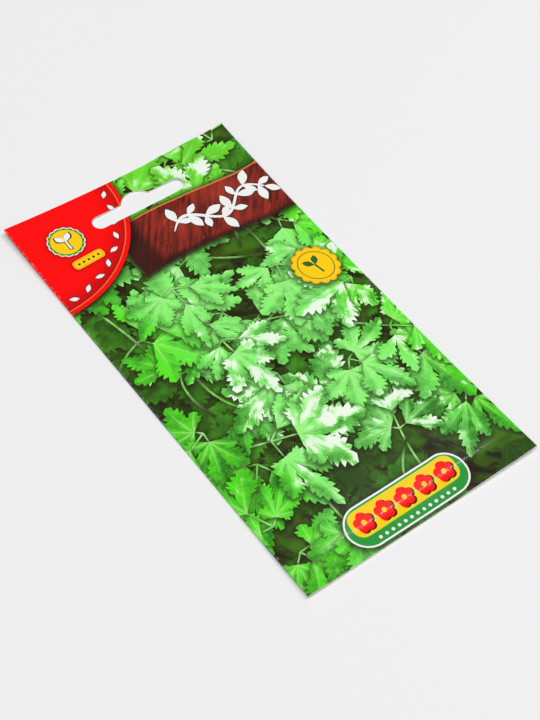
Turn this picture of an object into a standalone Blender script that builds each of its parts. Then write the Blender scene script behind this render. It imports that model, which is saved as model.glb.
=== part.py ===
# A sealed paper packet of parsley seed, lying on its back with its printed front up.
# Metres, +Z up. The origin is on the surface under the packet's middle, and +Y runs to the hang slot.

import math
import random

import bmesh
import bpy
from mathutils import Vector

MM = 0.001

# The packet
WIDTH = 80 * MM
LENGTH = 148 * MM
PAPER = 0.2 * MM  # thickness of the coated paper
FILM = 0.1 * MM  # adhesive between two layers of paper
CLEARANCE = 0.03 * MM  # between the adhesive and the paper on each side
TOP_SEAL = 20 * MM  # length of the sealed header
BOTTOM_SEAL = 8 * MM
SEAM_LEFT = 18 * MM  # where the outer flap ends on the back
SEAM_RIGHT = 26 * MM  # where the inner flap ends, over the outer one
JOG = 1.6 * MM  # length over which the inner flap steps up onto the outer one

# The form of the lying packet
BULGE = 1.9 * MM  # rise of the front over the seeds
BULGE_LOW = 0.6  # under 1, the highest place moves from the pocket's middle to its bottom
BULGE_SIDE = 2.5  # higher is flatter across the middle and steeper at the folds
RIDGE_FLANK = 6 * MM  # how gently the front climbs over the seam
FLAT_HALF = 20 * MM  # the back is flat this far each way from the middle
TOP_LEFT_LIFT = 1.6 * MM  # the corners curl up off the surface
TOP_RIGHT_LIFT = 2.2 * MM
BOTTOM_LEFT_LIFT = 0.9 * MM
BOTTOM_RIGHT_LIFT = 1.6 * MM

# The hang slot: a long slot with a rounded rise in the middle of its upper side
SLOT_LENGTH = 33 * MM
SLOT_HEIGHT = 5 * MM
SLOT_FROM_TOP = 12.3 * MM  # from the packet's top edge to the slot's middle line
RISE_WIDTH = 10 * MM
RISE_HEIGHT = 2.8 * MM
END_FACETS = 10  # on each round end
RISE_FACETS = 12
CUT_BELOW = 3 * MM  # how far the punch reaches past the packet
CUT_ABOVE = 8 * MM

# The seeds
SEED_LENGTH = 2.9 * MM
SEED_WIDTH = 1.4 * MM
SEED_DEPTH = 1.1 * MM
SEED_BEND = 0.35 * MM  # how far the middle of a seed bows sideways
SEED_SIDES = 5
SEED_PITCH = 3.7 * MM
SEED_SHIFT = 0.8 * MM  # largest step away from the even grid
BED_MIDDLE = Vector((-6 * MM, -26 * MM))  # beside the seam, in the lower half of the pocket
BED_HALF = Vector((19 * MM, 30 * MM))
BED_LIFT = 0.1 * MM  # gap between the seeds and the back of the packet
SEED_REACH = 0.93  # seeds are centred inside this share of the bed
CORE_DEPTH = 0.34 * MM
CORE_FACETS = 36
CORE_WAVES = 5
CORE_WAVE = 0.04
SEED_NUMBER = 11  # starts the random numbers

# How far apart the points of the curved layers lie
COLUMN_PITCH = 5 * MM  # across the packet
RIDGE_PITCH = 2 * MM
SEAM_PITCH = 4 * MM
ROW_PITCH = 6 * MM  # along the pocket
SEAL_PITCH = 4.5 * MM  # along the sealed ends
FOLD_FACETS = 6

# Finishes: colour, roughness
COATED_PAPER = ((0.13, 0.42, 0.08), 0.32)
ADHESIVE = ((0.86, 0.84, 0.76), 0.45)
SEED_SKIN = ((0.30, 0.22, 0.12), 0.8)

# Worked out from the sizes above
PLY_GAP = FILM + 2 * CLEARANCE
STEP_UP = PAPER + PLY_GAP  # from one layer of paper to the next
FOLD_OUTER = PAPER + PLY_GAP / 2
FOLD_INNER = PLY_GAP / 2
FOLD_X = WIDTH / 2 - FOLD_OUTER
POCKET_TOP = LENGTH / 2 - TOP_SEAL
POCKET_BOTTOM = -LENGTH / 2 + BOTTOM_SEAL
SLOT_Y = LENGTH / 2 - SLOT_FROM_TOP


def clear_scene():
    for thing in list(bpy.data.objects):
        bpy.data.objects.remove(thing, do_unlink=True)


def finish(name, look):
    colour, roughness = look
    surface = bpy.data.materials.new(name)
    surface.use_nodes = True
    shader = surface.node_tree.nodes["Principled BSDF"]
    shader.inputs["Base Color"].default_value = (*colour, 1)
    shader.inputs["Roughness"].default_value = roughness
    shader.inputs["Metallic"].default_value = 0
    return surface


def closed_mesh(name, shape):
    mesh = bpy.data.meshes.new(name)
    bmesh.ops.recalc_face_normals(shape, faces=shape.faces)
    shape.to_mesh(mesh)
    shape.free()
    return mesh


def add_object(name, shape, surface):
    thing = bpy.data.objects.new(name, closed_mesh(name, shape))
    bpy.context.scene.collection.objects.link(thing)
    if surface:
        thing.data.materials.append(surface)
    return thing


def evenly(start, end, count):
    return [start + (end - start) * i / count for i in range(count + 1)]


def spread(start, end, pitch):
    return evenly(start, end, round(abs(end - start) / pitch))


def smooth_step(value):
    t = min(1, max(0, value))
    return t * t * (3 - 2 * t)


# How far the corners curl up. The middle of the back stays flat on the surface.
def curl(x, y):
    end = max(0, abs(y) - FLAT_HALF) / (LENGTH / 2 - FLAT_HALF)
    side = x / (WIDTH / 2)
    if y > 0:
        lift = TOP_LEFT_LIFT if x < 0 else TOP_RIGHT_LIFT
    else:
        lift = BOTTOM_LEFT_LIFT if x < 0 else BOTTOM_RIGHT_LIFT
    return lift * end**2 * side**2


# How far the seeds push the front up, highest in the lower half of the pocket.
def bulge(x, y):
    along = (y - POCKET_BOTTOM) / (POCKET_TOP - POCKET_BOTTOM)
    if not 0 < along < 1:
        return 0
    across = 1 - min(1, abs(x) / FOLD_X) ** BULGE_SIDE
    return BULGE * math.sin(math.pi * along**BULGE_LOW) * across


# The front climbs over the third layer of paper in the seam.
def ridge(x):
    rising = smooth_step((x - (SEAM_LEFT - JOG - RIDGE_FLANK)) / RIDGE_FLANK)
    falling = smooth_step((SEAM_RIGHT + RIDGE_FLANK - x) / RIDGE_FLANK)
    return STEP_UP * min(rising, falling)


def front_inner(x, y):
    return STEP_UP + ridge(x) + bulge(x, y)


# The top of the back's layers, which the adhesive of both end seals lies on.
def back_inner(x):
    if SEAM_LEFT <= x <= SEAM_RIGHT + CLEARANCE:
        return STEP_UP + PAPER
    if SEAM_LEFT - JOG < x < SEAM_LEFT:
        return PAPER + STEP_UP * (x - SEAM_LEFT + JOG) / JOG
    return PAPER


# Two triangles for one four-cornered patch. All patches share one direction of diagonal, so that
# curved layers that lie on each other never cross.
def add_patch(shape, a, b, c, d):
    if a.co.x <= b.co.x:
        halves = ((a, b, c), (a, c, d))
    else:
        halves = ((a, b, d), (b, c, d))
    for half in halves:
        shape.faces.new(half)


# A solid between paired lower and upper points, which place() gives for each column and row.
def strip_solid(name, columns, rows, place, surface):
    shape = bmesh.new()
    lower = []
    upper = []
    for y in rows:
        pairs = [place(column, y) for column in columns]
        lower.append([shape.verts.new(low) for low, high in pairs])
        upper.append([shape.verts.new(high) for low, high in pairs])
    last = len(columns) - 1
    for r in range(len(rows) - 1):
        for layer in (lower, upper):
            for c in range(last):
                add_patch(shape, layer[r][c], layer[r][c + 1], layer[r + 1][c + 1], layer[r + 1][c])
        for c in (0, last):
            shape.faces.new((lower[r][c], lower[r + 1][c], upper[r + 1][c], upper[r][c]))
    for r in (0, len(rows) - 1):
        for c in range(last):
            shape.faces.new((lower[r][c], lower[r][c + 1], upper[r][c + 1], upper[r][c]))
    return add_object(name, shape, surface)


# Places across the front, closest where it climbs over the seam.
def front_columns():
    climb = SEAM_LEFT - JOG - RIDGE_FLANK
    columns = spread(-FOLD_X, climb, COLUMN_PITCH)
    columns += spread(climb, SEAM_LEFT - JOG, RIDGE_PITCH)[1:]
    columns += seam_columns()
    columns += spread(SEAM_RIGHT, SEAM_RIGHT + RIDGE_FLANK, RIDGE_PITCH)[1:]
    return columns + spread(SEAM_RIGHT + RIDGE_FLANK, FOLD_X, COLUMN_PITCH)[1:]


def seam_columns():
    return spread(SEAM_LEFT, SEAM_RIGHT, SEAM_PITCH)


# One sheet: inner flap, left fold, front, right fold, outer flap.
# A column is (part of the sheet, x, height of the outer side, fold angle).
def sheet_columns():
    lapped = seam_columns()[:0:-1] + [SEAM_LEFT - CLEARANCE]
    columns = [("back", x, STEP_UP, 0) for x in lapped]
    columns += [("back", x, 0, 0) for x in spread(SEAM_LEFT - JOG, -FOLD_X, COLUMN_PITCH)]
    half_turn = evenly(-math.pi / 2, math.pi / 2, FOLD_FACETS)[1:-1]
    columns += [("left fold", 0, 0, turn) for turn in half_turn]
    columns += [("front", x, 0, 0) for x in front_columns()]
    columns += [("right fold", 0, 0, turn) for turn in half_turn[::-1]]
    outer_flap = spread(FOLD_X, SEAM_RIGHT, COLUMN_PITCH)[:-1] + seam_columns()[::-1]
    return columns + [("back", x, 0, 0) for x in outer_flap]


def place_sheet(column, y):
    part, x, height, turn = column
    if part == "front":
        low = curl(x, y) + front_inner(x, y)
        return Vector((x, y, low + PAPER)), Vector((x, y, low))
    if part == "back":
        low = curl(x, y) + height
        return Vector((x, y, low)), Vector((x, y, low + PAPER))
    side = -1 if part == "left fold" else 1
    middle = Vector((side * FOLD_X, y, curl(side * FOLD_X, y) + FOLD_OUTER))
    outward = Vector((side * math.cos(turn), 0, math.sin(turn)))
    return middle + outward * FOLD_OUTER, middle + outward * FOLD_INNER


def foot_rows():
    return spread(-LENGTH / 2, POCKET_BOTTOM, SEAL_PITCH)


def header_rows():
    return spread(POCKET_TOP, LENGTH / 2, SEAL_PITCH)


def sheet_rows():
    return foot_rows() + spread(POCKET_BOTTOM, POCKET_TOP, ROW_PITCH)[1:] + header_rows()[1:]


def make_packet_paper():
    surface = finish("coated_paper", COATED_PAPER)
    return strip_solid("packet_paper", sheet_columns(), sheet_rows(), place_sheet, surface)


# The adhesive of an end seal fills the space between the back's layers and the front.
def make_end_seal(name, rows):
    surface = finish(name, ADHESIVE)
    flap_edge = SEAM_RIGHT + CLEARANCE
    columns = [x for x in front_columns() if x != SEAM_RIGHT]
    columns = sorted(columns + [flap_edge, flap_edge + FILM])

    def place(x, y):
        base = curl(x, y)
        low = base + back_inner(x) + CLEARANCE
        high = base + front_inner(x, y) - CLEARANCE
        return Vector((x, y, low)), Vector((x, y, high))

    return strip_solid(name, columns, rows, place, surface)


# The adhesive in the lap on the back, between the outer and the inner flap.
def make_seam_seal():
    surface = finish("back_seam_seal", ADHESIVE)

    def place(x, y):
        low = curl(x, y) + PAPER + CLEARANCE
        return Vector((x, y, low)), Vector((x, y, low + FILM))

    return strip_solid("back_seam_seal", seam_columns(), sheet_rows(), place, surface)


def slot_outline():
    reach = SLOT_LENGTH / 2 - SLOT_HEIGHT / 2
    half = SLOT_HEIGHT / 2
    rise_radius = ((RISE_WIDTH / 2) ** 2 + RISE_HEIGHT**2) / (2 * RISE_HEIGHT)
    rise_middle = half + RISE_HEIGHT - rise_radius
    swing = math.asin(RISE_WIDTH / 2 / rise_radius)
    points = []
    for turn in evenly(-math.pi / 2, math.pi / 2, END_FACETS):
        points.append((reach + half * math.cos(turn), half * math.sin(turn)))
    for turn in evenly(swing, -swing, RISE_FACETS):
        points.append((rise_radius * math.sin(turn), rise_middle + rise_radius * math.cos(turn)))
    for turn in evenly(math.pi / 2, math.pi * 3 / 2, END_FACETS):
        points.append((-reach + half * math.cos(turn), half * math.sin(turn)))
    return points


def prism(outline, low, high):
    shape = bmesh.new()
    floor = shape.faces.new([shape.verts.new((x, y, low)) for x, y in outline])
    raised = bmesh.ops.extrude_face_region(shape, geom=[floor])["geom"]
    moved = [part for part in raised if isinstance(part, bmesh.types.BMVert)]
    bmesh.ops.translate(shape, vec=(0, 0, high - low), verts=moved)
    return shape


def make_slot_cutter():
    outline = [(x, SLOT_Y + y) for x, y in slot_outline()]
    cutter = add_object("slot_cutter", prism(outline, -CUT_BELOW, CUT_ABOVE), None)
    cutter.hide_render = True
    cutter.display_type = "WIRE"
    return cutter


def punch(thing, cutter):
    cut = thing.modifiers.new("hang slot", "BOOLEAN")
    cut.operation = "DIFFERENCE"
    cut.solver = "EXACT"
    cut.object = cutter


# A slim, bowed seed, pointed at both ends.
def seed_shape():
    shape = bmesh.new()
    tips = [shape.verts.new((side * SEED_LENGTH / 2, -SEED_BEND, 0)) for side in (-1, 1)]
    rings = []
    for side in (-1, 1):
        ring = []
        for turn in evenly(0, 2 * math.pi, SEED_SIDES)[:-1]:
            y = SEED_WIDTH / 2 * math.cos(turn)
            z = SEED_DEPTH / 2 * math.sin(turn)
            ring.append(shape.verts.new((side * SEED_LENGTH / 5, y, z)))
        rings.append(ring)
    for i in range(SEED_SIDES):
        j = (i + 1) % SEED_SIDES
        shape.faces.new((rings[0][i], rings[0][j], rings[1][j], rings[1][i]))
        shape.faces.new((tips[0], rings[0][i], rings[0][j]))
        shape.faces.new((tips[1], rings[1][i], rings[1][j]))
    return shape


# A thin core with a wavy outline, which the seeds stand out of on both sides.
def core_shape():
    outline = []
    for turn in evenly(0, 2 * math.pi, CORE_FACETS)[:-1]:
        reach = SEED_REACH + CORE_WAVE * math.sin(CORE_WAVES * turn)
        outline.append((BED_HALF.x * reach * math.cos(turn), BED_HALF.y * reach * math.sin(turn)))
    return prism(outline, -CORE_DEPTH / 2, CORE_DEPTH / 2)


# Places for the seeds on a staggered grid inside the bed's oval, each a little off its place.
def seed_places():
    draw = random.Random(SEED_NUMBER)
    places = []
    row_pitch = SEED_PITCH * math.sqrt(3) / 2
    rows = math.ceil(BED_HALF.y / row_pitch)
    columns = math.ceil(BED_HALF.x / SEED_PITCH)
    for row in range(-rows, rows + 1):
        stagger = SEED_PITCH / 2 if row % 2 else 0
        for column in range(-columns, columns + 1):
            x = column * SEED_PITCH + stagger + draw.uniform(-SEED_SHIFT, SEED_SHIFT)
            y = row * row_pitch + draw.uniform(-SEED_SHIFT, SEED_SHIFT)
            heading = draw.uniform(0, 2 * math.pi)
            if (x / BED_HALF.x) ** 2 + (y / BED_HALF.y) ** 2 < SEED_REACH**2:
                places.append((x, y, heading))
    return places


def scatter_seeds():
    loose = bpy.data.collections.new("loose seeds")
    bpy.context.scene.collection.children.link(loose)
    pattern = closed_mesh("loose seed", seed_shape())
    for x, y, heading in seed_places():
        seed = bpy.data.objects.new("loose seed", pattern)
        seed.location = (x, y, 0)
        seed.rotation_euler = (0, 0, heading)
        loose.objects.link(seed)
    return loose


# All the seeds are joined with the core into one body.
def make_seeds():
    surface = finish("seeds", SEED_SKIN)
    bed = add_object("seeds", core_shape(), surface)
    loose = scatter_seeds()
    join = bed.modifiers.new("join the seeds", "BOOLEAN")
    join.operation = "UNION"
    join.solver = "EXACT"
    join.operand_type = "COLLECTION"
    join.collection = loose
    bpy.context.view_layer.update()
    joined = bed.evaluated_get(bpy.context.evaluated_depsgraph_get())
    bed.data = bpy.data.meshes.new_from_object(joined)
    bed.modifiers.clear()
    bed.data.materials.clear()
    bed.data.materials.append(surface)
    for seed in list(loose.objects):
        bpy.data.objects.remove(seed, do_unlink=True)
    bpy.data.collections.remove(loose)
    bed.location = (*BED_MIDDLE, PAPER + BED_LIFT + SEED_DEPTH / 2)


def main():
    clear_scene()
    paper = make_packet_paper()
    top_seal = make_end_seal("top_seal", header_rows())
    make_end_seal("bottom_seal", foot_rows())
    make_seam_seal()
    make_seeds()
    cutter = make_slot_cutter()
    punch(paper, cutter)
    punch(top_seal, cutter)


main()
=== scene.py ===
# The looks of a sealed paper packet of herb seed, lying face up on a pale surface.
# The packet is one printed sheet. Its print is laid out flat, in millimetres along and across the
# opened sheet, and the sheet is then folded round the packet that the CAD frame gives.
import math
import random

import bpy
import numpy as np
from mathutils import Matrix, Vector
from mathutils.geometry import delaunay_2d_cdt


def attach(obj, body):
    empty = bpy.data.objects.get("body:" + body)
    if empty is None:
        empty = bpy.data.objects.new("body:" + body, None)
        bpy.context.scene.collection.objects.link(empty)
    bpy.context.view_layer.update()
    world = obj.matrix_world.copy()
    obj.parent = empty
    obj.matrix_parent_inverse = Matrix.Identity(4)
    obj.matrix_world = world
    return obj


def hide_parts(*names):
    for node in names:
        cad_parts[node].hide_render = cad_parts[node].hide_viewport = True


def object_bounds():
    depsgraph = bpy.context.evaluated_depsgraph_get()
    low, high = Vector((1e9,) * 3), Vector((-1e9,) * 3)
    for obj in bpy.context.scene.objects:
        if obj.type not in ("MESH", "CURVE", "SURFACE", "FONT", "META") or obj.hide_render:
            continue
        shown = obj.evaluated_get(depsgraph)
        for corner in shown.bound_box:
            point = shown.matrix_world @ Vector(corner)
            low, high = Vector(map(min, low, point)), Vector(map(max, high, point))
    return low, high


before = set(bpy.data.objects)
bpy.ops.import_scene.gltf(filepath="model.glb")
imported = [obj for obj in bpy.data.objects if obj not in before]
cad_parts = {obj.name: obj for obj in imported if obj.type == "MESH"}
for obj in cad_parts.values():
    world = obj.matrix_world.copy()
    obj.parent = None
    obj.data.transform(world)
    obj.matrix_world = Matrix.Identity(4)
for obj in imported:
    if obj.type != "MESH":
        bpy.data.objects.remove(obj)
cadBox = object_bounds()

mm = 0.001
packetWidth = (cadBox[1].x - cadBox[0].x) / mm
packetLength = (cadBox[1].y - cadBox[0].y) / mm
halfWidth = packetWidth / 2
halfLength = packetLength / 2

# The sheet of paper and the way it is folded, in millimetres, as in the CAD packet
sheet = {
    "paper": 0.2,
    "film": 0.1,  # adhesive between two layers
    "clearance": 0.03,
    "topSeal": 20,
    "bottomSeal": 8,
    "seamLeft": 18,  # free edge of the outer flap on the back
    "seamRight": 26,  # edge of the inner flap
    "jog": 1.6,
    "bulge": 1.9,  # rise over the seeds
    "bulgeLow": 0.6,
    "bulgeSide": 2.5,
    "ridgeFlank": 6,
    "flatHalf": 20,
    "liftTopLeft": 1.6,  # how far the corners curl up
    "liftTopRight": 2.2,
    "liftBottomLeft": 0.9,
    "liftBottomRight": 1.6,
    "bleed": 1.1,  # the front's print ends this far past the fold's start
    "pitch": 1.0,  # between mesh points on the printed front
    "backPitch": 3.0,
    "innerPitch": 4,
    "foldFacets": 10,
    "ripple": 0.07,  # height of the soft waves over the seeds
    "rippleLengths": (31, 26, 19, 15, 11, 8.5, 6.5),
}
plyGap = sheet["film"] + 2 * sheet["clearance"]
stepUp = sheet["paper"] + plyGap
foldOuter = sheet["paper"] + plyGap / 2
foldX = halfWidth - foldOuter
turnLength = math.pi * foldOuter
flatReach = 2 * foldX + turnLength  # a place x on a flap lies this far less x along the sheet
sheetStart = -(flatReach + sheet["seamRight"])
sheetEnd = flatReach - sheet["seamLeft"]
bleedReach = foldX + sheet["bleed"]
pocketTop = halfLength - sheet["topSeal"]
pocketBottom = -halfLength + sheet["bottomSeal"]

slot = {"length": 33, "height": 5, "fromTop": 12.3, "riseWidth": 10, "riseHeight": 2.8, "facets": 20}
slotY = halfLength - slot["fromTop"]


def smoothStep(value):
    t = np.clip(value, 0, 1)
    return t * t * (3 - 2 * t)


def curlAt(x, y):
    end = np.maximum(0, np.abs(y) - sheet["flatHalf"]) / (halfLength - sheet["flatHalf"])
    top = np.where(x < 0, sheet["liftTopLeft"], sheet["liftTopRight"])
    bottom = np.where(x < 0, sheet["liftBottomLeft"], sheet["liftBottomRight"])
    return np.where(y > 0, top, bottom) * end**2 * (x / halfWidth) ** 2


# How full the pocket is at a place: 0 at its ends and folds, 1 over the middle of the seeds
def fillAt(x, y):
    along = np.clip((y - pocketBottom) / (pocketTop - pocketBottom), 0, 1)
    across = 1 - np.minimum(1, np.abs(x) / foldX) ** sheet["bulgeSide"]
    return np.maximum(0, np.sin(math.pi * along ** sheet["bulgeLow"])) * across


def ridgeAt(x):
    rising = (x - (sheet["seamLeft"] - sheet["jog"] - sheet["ridgeFlank"])) / sheet["ridgeFlank"]
    falling = (sheet["seamRight"] + sheet["ridgeFlank"] - x) / sheet["ridgeFlank"]
    return stepUp * np.minimum(smoothStep(rising), smoothStep(falling))


# The inner flap steps up onto the outer one at the seam
def lapAt(x):
    start = sheet["seamLeft"] - sheet["jog"]
    return stepUp * np.clip((x - start) / (sheet["jog"] - sheet["clearance"]), 0, 1)


rippleDraw = random.Random(5)
rippleWaves = []
for waveLength in sheet["rippleLengths"]:
    heading = rippleDraw.uniform(0, math.pi)
    rippleWaves.append((
        2 * math.pi / waveLength * math.cos(heading),
        2 * math.pi / waveLength * math.sin(heading),
        rippleDraw.uniform(0, 2 * math.pi),
        (waveLength / sheet["rippleLengths"][0]) ** 0.8,
    ))


def rippleAt(x, y):
    total = sum(height * np.sin(x * a + y * b + start) for a, b, start, height in rippleWaves)
    return sheet["ripple"] * total * fillAt(x, y)


# From places on the opened sheet, and a depth below its printed side, to the folded packet
def foldSheet(flat, depth):
    s, y = flat.T
    side = np.where(s < 0, -1, 1)
    reach = np.abs(s)
    angle = np.clip((reach - foldX) / foldOuter, 0, math.pi)
    radius = foldOuter - depth
    xBack = side * (flatReach - reach)
    zBack = curlAt(xBack, y) + np.where(side < 0, lapAt(xBack), 0) + depth
    zFront = curlAt(s, y) + stepUp + ridgeAt(s) + sheet["paper"] - depth
    zFront = zFront + sheet["bulge"] * fillAt(s, y) + rippleAt(s, y)
    zFold = curlAt(side * foldX, y) + foldOuter + radius * np.cos(angle)
    front = reach <= foldX
    back = reach >= foldX + turnLength
    x = np.where(front, s, np.where(back, xBack, side * (foldX + radius * np.sin(angle))))
    z = np.where(front, zFront, np.where(back, zBack, zFold))
    return np.stack([x, y, z], axis=1)


# Outlines, all as closed rings of points

def evenly(start, end, count):
    return np.linspace(start, end, count + 1)


def pointing(angle):
    return np.array([math.cos(angle), math.sin(angle)])


# The way that a leaf or sprout points, with 0 towards the header
def headed(angle):
    return np.array([-math.sin(angle), math.cos(angle)])


def turned(points, angle, place=(0, 0)):
    c, s = math.cos(angle), math.sin(angle)
    points = np.asarray(points, float)
    return np.stack([c * points[:, 0] - s * points[:, 1], s * points[:, 0] + c * points[:, 1]], 1) + place


def roundRing(place, half, count, waves=0, waveDepth=0):
    turn = evenly(0, 2 * math.pi, count)[:-1]
    reach = half * (1 + waveDepth * np.abs(np.cos(waves * turn / 2)))
    return np.stack([reach * np.cos(turn), reach * np.sin(turn)], 1) + place


def barRing(place, across, along, corner, angle=0, facets=6):
    points = []
    quarter = math.pi / 2
    for k, (sx, sy) in enumerate(((1, 1), (-1, 1), (-1, -1), (1, -1))):
        for turn in evenly(k * quarter, (k + 1) * quarter, facets):
            middle = (sx * (across / 2 - corner), sy * (along / 2 - corner))
            points.append(middle + corner * pointing(turn))
    return turned(points, angle, place)


def boxRing(left, right, low, high):
    return [(left, low), (right, low), (right, high), (left, high)]


# A slim petal or simple leaf from its base to its tip
def petalRing(base, size, breadth, angle, count=9, fullest=0.5):
    t = evenly(0, 1, count)
    half = breadth / 2 * np.sin(math.pi * t ** (math.log(0.5) / math.log(fullest)))
    right = np.stack([size * t, -half], 1)
    left = np.stack([size * t, half], 1)[-2:0:-1]
    return turned(np.concatenate([right, left]), angle, base)


# A band of changing breadth that follows a line of points
def bandRing(line, breadths):
    along = np.gradient(line, axis=0)
    along /= np.linalg.norm(along, axis=1)[:, None]
    aside = np.stack([-along[:, 1], along[:, 0]], 1) * (np.asarray(breadths)[:, None] / 2)
    return np.concatenate([line - aside, (line + aside)[::-1]])


def curveLine(start, control, end, count):
    t = evenly(0, 1, count)[:, None]
    return (1 - t) ** 2 * np.array(start) + 2 * t * (1 - t) * np.array(control) + t**2 * np.array(end)


def slotRing(mirrored=False):
    half = slot["height"] / 2
    reach = slot["length"] / 2 - half
    rise = slot["riseHeight"]
    riseRadius = ((slot["riseWidth"] / 2) ** 2 + rise**2) / (2 * rise)
    swing = math.asin(slot["riseWidth"] / 2 / riseRadius)
    quarter = math.pi / 2
    points = [(reach, 0) + half * pointing(turn) for turn in evenly(-quarter, quarter, slot["facets"])]
    points += [(0, half + rise - riseRadius) + riseRadius * pointing(quarter - turn)
               for turn in evenly(swing, -swing, slot["facets"])]
    points += [(-reach, 0) + half * pointing(turn) for turn in evenly(quarter, 3 * quarter, slot["facets"])]
    ring = np.array(points) + (0, slotY)
    return np.stack([-flatReach - ring[:, 0], ring[:, 1]], 1) if mirrored else ring


def insideRing(points, ring):
    x, y = points[:, 0, None], points[:, 1, None]
    after = np.roll(ring, -1, axis=0)
    rise = after[:, 1] - ring[:, 1]
    rise = np.where(np.abs(rise) < 1e-12, 1e-12, rise)
    crosses = (ring[:, 1] > y) != (after[:, 1] > y)
    at = (after[:, 0] - ring[:, 0]) * (y - ring[:, 1]) / rise + ring[:, 0]
    return (crosses & (x < at)).sum(axis=1) % 2 == 1


def besideRing(points, ring, margin=0.0):
    return ((points > ring.min(axis=0) - margin) & (points < ring.max(axis=0) + margin)).all(axis=1)


# The numbers of those points among the allowed ones that lie in a ring
def caughtIn(points, ring, allowed):
    index = np.nonzero(allowed & besideRing(points, ring))[0]
    return index[insideRing(points[index], ring)]


def distanceToRing(points, ring):
    step = np.roll(ring, -1, axis=0) - ring
    span = np.maximum((step**2).sum(axis=1), 1e-12)
    offset = points[:, None, :] - ring[None, :, :]
    t = np.clip((offset * step).sum(axis=2) / span, 0, 1)
    return np.linalg.norm(offset - t[:, :, None] * step, axis=2).min(axis=1)


# The print. Each shape covers the ones before it.
shapes = []


def addShape(ring, ink, face="front", leaf=None, casts=0.0, castReach=0.6, group=None, fade=None):
    shapes.append({
        "ring": np.asarray(ring, float), "ink": ink, "face": face, "leaf": leaf, "fade": fade,
        "casts": casts, "castReach": castReach, "group": group if group is not None else len(shapes),
    })


foliage = {
    "cell": 17.2,  # one spray of leaves for each cell of this size
    "jitter": 5.5,
    "leafLength": (16, 21.5),
    "squeeze": (0.6, 1.05),  # leaves seen from the side are narrower
    "toothPitch": 1.45,
    "fullest": 0.62,  # a lobe is broadest this far along
    "smoothPart": (0.16, 0.32),  # points on a lobe before its teeth
    "teethStart": 0.42,
    "teethEnd": 0.96,
    "clearings": ((29, -66, 16), (-8, -56, 8), (14, -36, 6), (-30, 27, 6), (24, 30, 5)),  # place and reach
    "stemBreadth": 0.65,
    "rightLift": 0.22,  # the leaves at the right are lighter
    "deepCell": 11.5,  # the dim leaves below the sprays
    "deepLength": (12, 19),
}
draw = random.Random(23)

# A lobe's own frame is (across, along) with its base at the origin. The leaf's frame is the same
# for the whole leaf, and both are bent sideways by a share of the square of the way along.
lobeKinds = (
    # angle, start along the leaf, length, half breadth, bend
    (math.radians(74), 0.02, 0.52, 0.13, 0.3),
    (math.radians(-74), 0.02, 0.52, 0.13, -0.3),
    (math.radians(42), 0.03, 0.84, 0.20, 0.2),
    (math.radians(-42), 0.03, 0.84, 0.20, -0.2),
    (0, 0.0, 1.02, 0.23, 0),
)


def bentBy(points, amount):
    return np.stack([points[:, 0] + amount * points[:, 1] ** 2, points[:, 1]], 1)


def lobeToSheet(points, leaf):
    points = bentBy(points, leaf["lobeBend"])
    points = turned(points, leaf["lobeAngle"], (0, leaf["lobeStart"]))
    points = bentBy(points, leaf["bend"]) * (leaf["squeeze"] * leaf["size"], leaf["size"])
    return turned(points, leaf["heading"], leaf["place"])


def sheetToLobe(points, leaf):
    points = turned(points - leaf["place"], -leaf["heading"])
    points = points / (leaf["squeeze"] * leaf["size"], leaf["size"])
    points = bentBy(points, -leaf["bend"]) - (0, leaf["lobeStart"])
    return bentBy(turned(points, -leaf["lobeAngle"]), -leaf["lobeBend"])


# One side of a lobe from base to tip: a smooth wedge, then pointed teeth that lean forward
def lobeSide(reach, half, teeth):
    fullest = foliage["fullest"]

    def profile(t):
        if t < fullest:
            return half * (t / fullest) ** 0.95
        return half * (1 - min(1, (t - fullest) / (1 - fullest)) ** 1.35)

    side = [(profile(t), reach * t) for t in foliage["smoothPart"]]
    step = (foliage["teethEnd"] - foliage["teethStart"]) / teeth
    for k in range(teeth):
        low = foliage["teethStart"] + k * step
        grow = draw.uniform(0.7, 1.3)
        side.append((profile(low) * 0.80, reach * (low + 0.04 * step)))
        side.append((profile(low + 0.3 * step) * 1.05 + 0.008, reach * (low + 0.5 * step)))
        side.append((profile(low + 0.5 * step) * 1.1 + 0.028 * grow, reach * (low + 1.06 * step)))
    return side


def lobeRing(reach, half, teeth):
    right = lobeSide(reach, half, teeth)
    left = [(-a, b) for a, b in lobeSide(reach, half, teeth)]
    return np.array([(0, 0)] + right + [(0, reach * 1.04)] + left[::-1])


def addLeaf(place, heading, size, ink, tone, gloss, casts=0.72):
    group = ("leaf", len(shapes))
    squeeze = draw.uniform(*foliage["squeeze"]) * (0.62 if draw.random() < 0.15 else 1)
    bend = draw.uniform(-0.2, 0.2)
    fold = draw.uniform(-1, 1)
    slope = draw.uniform(-0.35, 0.5)
    full = draw.random() < 0.3
    for angle, start, reach, half, lobeBend in lobeKinds:
        if abs(angle) > 1 and not full:
            continue
        leaf = {
            "place": np.array(place), "heading": heading, "size": size, "squeeze": squeeze,
            "bend": bend, "lobeAngle": -angle * draw.uniform(0.8, 1.15), "lobeStart": start,
            "lobeBend": lobeBend, "fold": fold + draw.uniform(-0.3, 0.3),
            "tone": tone + draw.uniform(-0.07, 0.07), "gloss": gloss, "slope": slope,
        }
        reach *= draw.uniform(0.84, 1.08)
        teeth = max(2, round(reach * size * 0.54 / foliage["toothPitch"]))
        ring = lobeToSheet(lobeRing(reach, half, min(teeth, 5)), leaf)
        addShape(ring, ink, leaf=leaf, casts=casts, castReach=0.7, group=group)


# A stem sinks into the dark from fade[0] to fade[1] away from its upper end
def addStem(start, control, end, thick, thin, group=None, fade=None):
    breadths = foliage["stemBreadth"] * np.linspace(thick, thin, 9)
    ring = bandRing(curveLine(start, control, end, 8), breadths)
    addShape(ring, "stem", casts=0.5, castReach=0.35, group=group, fade=fade and (end, *fade))


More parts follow.
